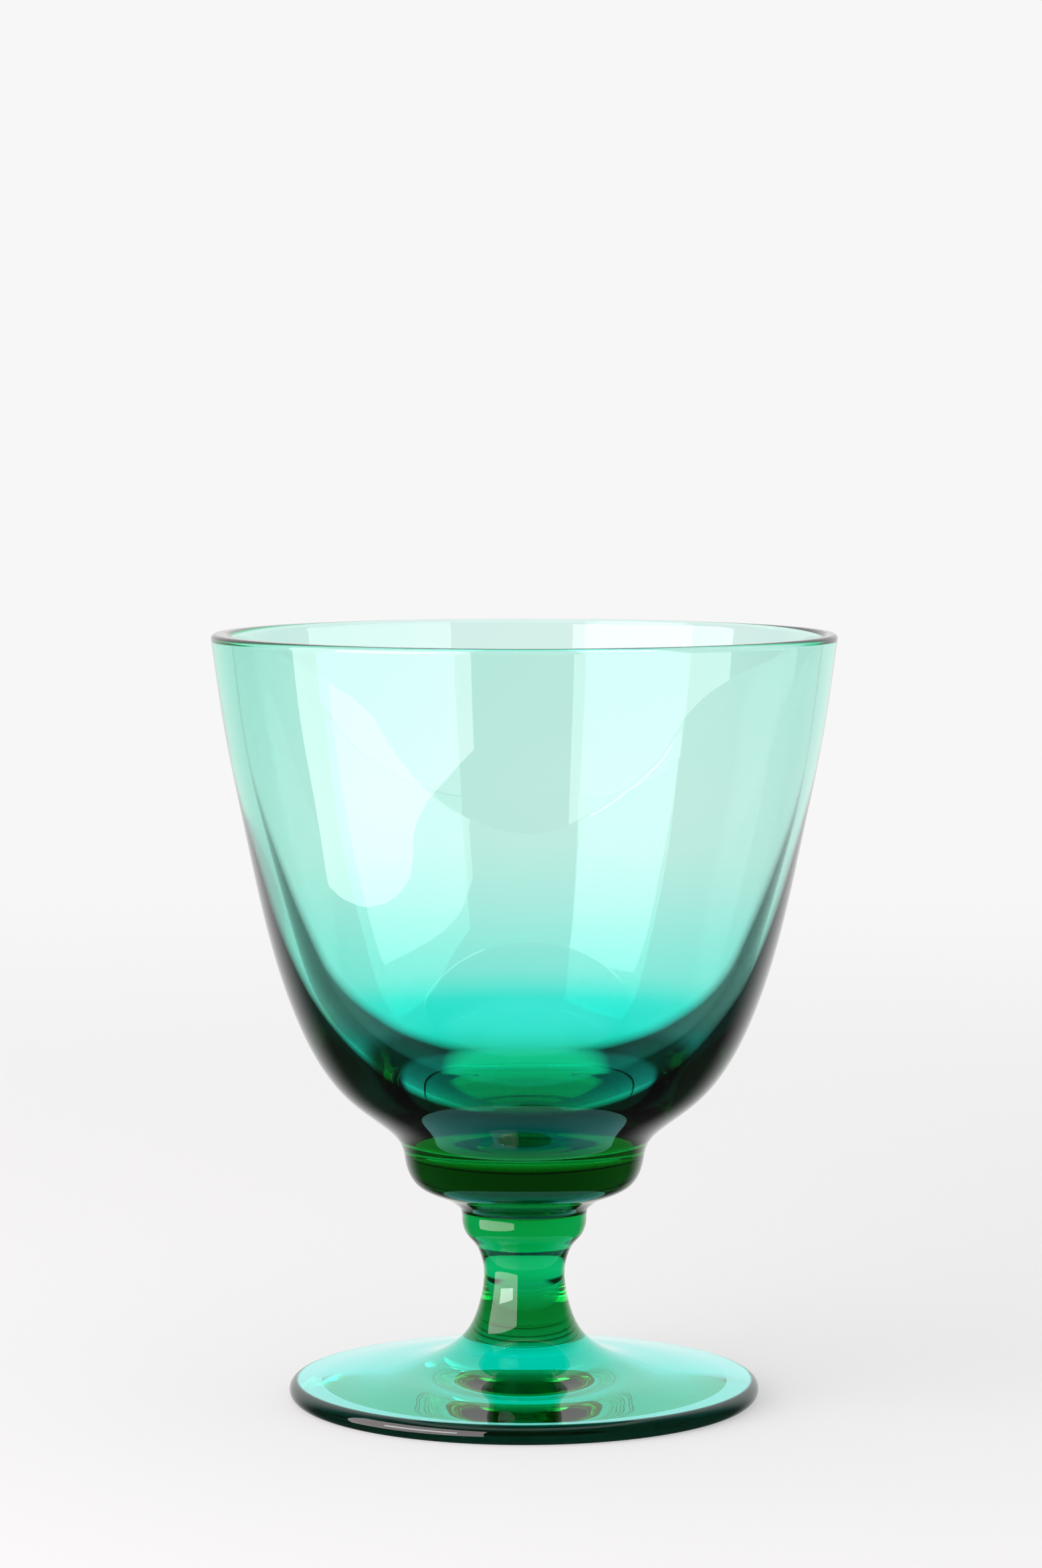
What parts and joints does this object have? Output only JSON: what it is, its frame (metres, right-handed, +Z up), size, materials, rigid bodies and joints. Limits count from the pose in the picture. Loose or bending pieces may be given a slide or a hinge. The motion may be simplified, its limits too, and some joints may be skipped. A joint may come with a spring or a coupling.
{
  "type": "wine glass",
  "caption": "Low stemmed wine glass in clear green glass: a deep tapering bowl on two stepped collars, a short waisted stem and a round flared foot.",
  "frame": {"origin": "on the table plane, at the middle of the ring that the foot stands on", "axes": "+Z up along the glass's axis, from the foot to the rim; X and Y lie in the table plane and are alike"},
  "size_m": [0.097, 0.097, 0.12],
  "materials": {
    "green_glass": "fire-polished, clear, coloured through"
  },
  "bodies": {
    "root": {"foot": "green_glass", "stem": "green_glass", "lower_collar": "green_glass", "upper_collar": "green_glass", "bowl": "green_glass"}
  },
  "joints": []
}
